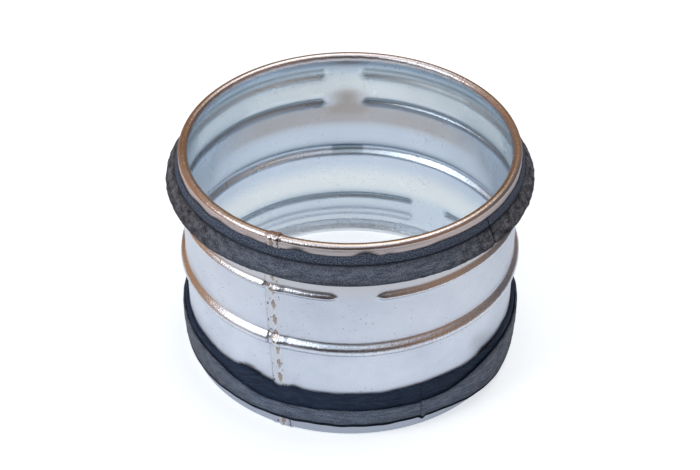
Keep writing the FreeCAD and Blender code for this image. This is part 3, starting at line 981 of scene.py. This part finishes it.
# %% Rubber: fibres, dust and gloss
rubber_marks = put(tree, "ShaderNodeGroup", {"node_tree": marks}, Place=girth, Speck_Share=0.22,
                   Line_Amount=1.0)
fibres = times(tree, rubber_marks.outputs["Lines"], times_plus(tree, on_lip, 0.12, 0.10))
skin = mixed(tree, fibres, skin, (0.125, 0.128, 0.150))
skin = mixed(tree, times(tree, rubber_marks.outputs["Specks"], 0.3), skin, (0.17, 0.175, 0.19))
dull = span(tree, skin_noise, 0.3, 0.7, 0.48, 0.78)
fine_grain = times(tree, noise(tree, space, 1100.0, 4.0, 0.65), 0.45)
grain = times_plus(tree, skin_noise, 1.2, fine_grain)
rough_grain = times(tree, times(tree, scuff, on_lip), rough_noise)
grain = times_plus(tree, rough_grain, 2.6, grain)
grain = times_plus(tree, rubber_marks.outputs["Lines"], 0.4, grain)
shader.inputs["Specular IOR Level"].default_value = 0.18
fill_shader(tree, shader, skin, dull, grain, 0.7, 0.0005)
for gasket in (upper_gasket, lower_gasket):
    gasket.data.materials.append(rubber)
print("rubber has", len(tree.nodes), "nodes")

# %% [markdown]
# ## Floor
#
# Polished metal shows its surroundings, so the stage matters as much as the finish. The upright wall
# mirrors the floor in front of it. The floor is a little brighter for the camera than for the light that
# it gives, so that the picture has a white ground and still a shadow.

# %% Floor
def stage_mesh(name, points, faces):
    """A piece of the stage with a dull material of its own, and that material's node tree and shader."""
    mesh = bpy.data.meshes.new(name)
    mesh.from_pydata(points, [], faces)
    card = bpy.data.objects.new(name, mesh)
    bpy.context.scene.collection.objects.link(card)
    paint = bpy.data.materials.new(name)
    paint.use_nodes = True
    coat = paint.node_tree.nodes["Principled BSDF"]
    coat.inputs["Roughness"].default_value = 1.0
    coat.inputs["Specular IOR Level"].default_value = 0.0
    mesh.materials.append(paint)
    return card, paint.node_tree, coat


FLOOR_HALF = 4.0
floor_corners = [(x * FLOOR_HALF, y * FLOOR_HALF, 0.0) for x, y in ((-1, -1), (1, -1), (1, 1), (-1, 1))]
floor, tree, coat = stage_mesh("floor", floor_corners, [(0, 1, 2, 3)])
coat.inputs["Base Color"].default_value = (0.90, 0.91, 0.93, 1)
coat.inputs["Emission Color"].default_value = (0.95, 0.975, 1.0, 1)
path = put(tree, "ShaderNodeLightPath").outputs
mirrored = sums(tree, "MAXIMUM", path["Is Glossy Ray"], path["Is Transmission Ray"])
seen = times_plus(tree, path["Is Camera Ray"], 0.62, times(tree, mirrored, 0.40))
tree.links.new(seen, coat.inputs["Emission Strength"])
print("floor has", len(floor.data.vertices), "corners and its material", len(tree.nodes), "nodes")

# %% [markdown]
# ## A room to mirror
#
# The flanks of the bead and of the curls mirror what lies and stands round the object: a dark table beyond
# the white sheet, wood at the sides and behind, a window on the left, and a dim front with light above it.
# A picture of a room could give this, but a script that draws its own room needs no file. A flat apron with
# an upright ring plays that part. It is hidden from the camera, and is seen only in the metal.

# %% Ring of warm surroundings: its grid and its wood
APRON_RADIUS, APRON_HEIGHT, APRON_ROWS = 0.19, 0.002, 8
RING_RADIUS, RING_TOP, RING_COLUMNS, RING_ROWS = 1.5, 2.6, 192, 33
COPPER_GLOW = np.array([0.16, 0.06, 0.0])
ring_turn = np.arange(RING_COLUMNS) * 360.0 / RING_COLUMNS - 180.0
path_radius = np.append(np.linspace(APRON_RADIUS, RING_RADIUS, APRON_ROWS), np.full(RING_ROWS, RING_RADIUS))
path_height = np.append(np.full(APRON_ROWS, APRON_HEIGHT), np.linspace(0.02, RING_TOP, RING_ROWS))
T, H = np.meshgrid(ring_turn, path_height)
R = np.broadcast_to(path_radius[:, None], T.shape)
grain_wave = 0.5 + 0.25 * np.sin(np.radians(T * 9) + 3 * H) + 0.25 * np.sin(np.radians(T * 23) + 1.7)
wood = np.array([0.22, 0.125, 0.08]) + grain_wave[..., None] * np.array([0.26, 0.20, 0.15])
dim = np.array([0.17, 0.145, 0.135])
shaded = plateau(T, 92, 126, 12)[..., None]
wood = wood * (1 - shaded) + dim * shaded
wood = wood + plateau(T, -130, -82, 6)[..., None] * COPPER_GLOW
print("wood from", wood.min().round(2), "to", wood.max().round(2))

# %% Ring of warm surroundings: window, dark front and light above
pale = np.array([0.88, 0.94, 1.0])
dark = np.array([0.10, 0.085, 0.08])
behind = ramp(np.abs(T), 110, 140)
window = plateau(T, -76, -50, 5) * ramp(H, 0.08, 0.2)
front = plateau(T, -36, 24, 14)
sides = np.maximum(plateau(T, 36, 110, 12), plateau(T, -125, -100, 8))
wood_top = 0.85 + 0.7 * behind + 1.1 * sides + 0.6 * front
light_share = np.maximum(window, ramp(H, wood_top, wood_top + 0.25))[..., None]
colour = wood * (1 - front[..., None]) + dark * front[..., None]
colour = colour * (1 - light_share) + pale * light_share
print("ring is pale over", round(float(light_share.mean()), 2), "of its height")

# %% Ring mesh and its glow
ring_points = np.stack([R * np.sin(np.radians(T)), -R * np.cos(np.radians(T)), H], axis=-1)
numbers = np.arange(T.size).reshape(T.shape)
numbers = np.concatenate([numbers, numbers[:, :1]], axis=1)
ring_faces = corner_table(numbers, len(path_height) - 1, RING_COLUMNS).tolist()
ring, tree, coat = stage_mesh("room_ring", ring_points.reshape(-1, 3), ring_faces)
glow = ring.data.attributes.new("room", "FLOAT_COLOR", "POINT")
four_numbers = np.concatenate([colour, np.ones((*T.shape, 1))], axis=-1)
glow.data.foreach_set("color", four_numbers.astype(np.float32).ravel())
coat.inputs["Base Color"].default_value = (0, 0, 0, 1)
coat.inputs["Emission Strength"].default_value = 1.0
room = put(tree, "ShaderNodeAttribute", {"attribute_name": "room"}).outputs["Color"]
tree.links.new(room, coat.inputs["Emission Color"])
ring.visible_camera = False
ring.visible_shadow = False
ring.visible_diffuse = False
print("ring has", len(ring_faces), "faces")

# %% [markdown]
# ## Light
#
# A window on the left and a ceiling light do the lighting, with a dim sky to fill the shadows. The sky is
# white for the camera and in the metal, where only its look counts.

# %% Lamps and sky
LAMP_AIM = Vector((0.0, 0.0, 0.05))


def soft_lamp(name, place, size, power, colour):
    """A square area lamp at a place, turned to face the object."""
    light = bpy.data.lights.new(name, "AREA")
    light.shape, light.size, light.energy, light.color = "SQUARE", size, power, colour
    lamp = bpy.data.objects.new(name, light)
    lamp.location = place
    lamp.rotation_euler = (LAMP_AIM - Vector(place)).to_track_quat("-Z", "Y").to_euler()
    bpy.context.scene.collection.objects.link(lamp)


soft_lamp("window", (-1.13, -0.60, 1.0), 0.7, 7.0, (0.92, 0.97, 1.0))
soft_lamp("ceiling", (0.4, 0.3, 1.7), 1.2, 7.5, (1.0, 0.98, 0.95))
world = bpy.data.worlds.new("sky")
bpy.context.scene.world = world
world.use_nodes = True
tree = world.node_tree
path = put(tree, "ShaderNodeLightPath").outputs
bright = sums(tree, "MAXIMUM", path["Is Camera Ray"], path["Is Glossy Ray"])
bright = sums(tree, "MAXIMUM", bright, path["Is Transmission Ray"])
sky = tree.nodes["Background"].inputs
sky["Color"].default_value = (0.95, 0.975, 1.0, 1)
tree.links.new(times_plus(tree, bright, 0.72, 0.28), sky["Strength"])
bpy.context.scene.view_settings.view_transform = "Standard"
print("stage set")

# %% [markdown]
# ## Camera
#
# The camera was fitted to the two rims: a long lens, 38 degrees above the floor. A long lens keeps the
# two ellipses of the rims nearly alike, as they are on the real object.

# %% Camera
CAMERA_DISTANCE, CAMERA_RISE, AIM_HEIGHT = 0.6212, np.radians(37.81), 0.0440
FOCAL_LENGTH, SENSOR_WIDTH = 84.95, 36.0
lens = bpy.data.cameras.new("camera")
lens.sensor_width = SENSOR_WIDTH
lens.lens = FOCAL_LENGTH
camera = bpy.data.objects.new("camera", lens)
aim = Vector((0.0, 0.0, AIM_HEIGHT))
camera.location = aim + CAMERA_DISTANCE * Vector((0.0, -np.cos(CAMERA_RISE), np.sin(CAMERA_RISE)))
camera.rotation_euler = (aim - camera.location).to_track_quat("-Z", "Y").to_euler()
bpy.context.scene.collection.objects.link(camera)
bpy.context.scene.camera = camera
print("camera at", np.round(camera.location, 4))
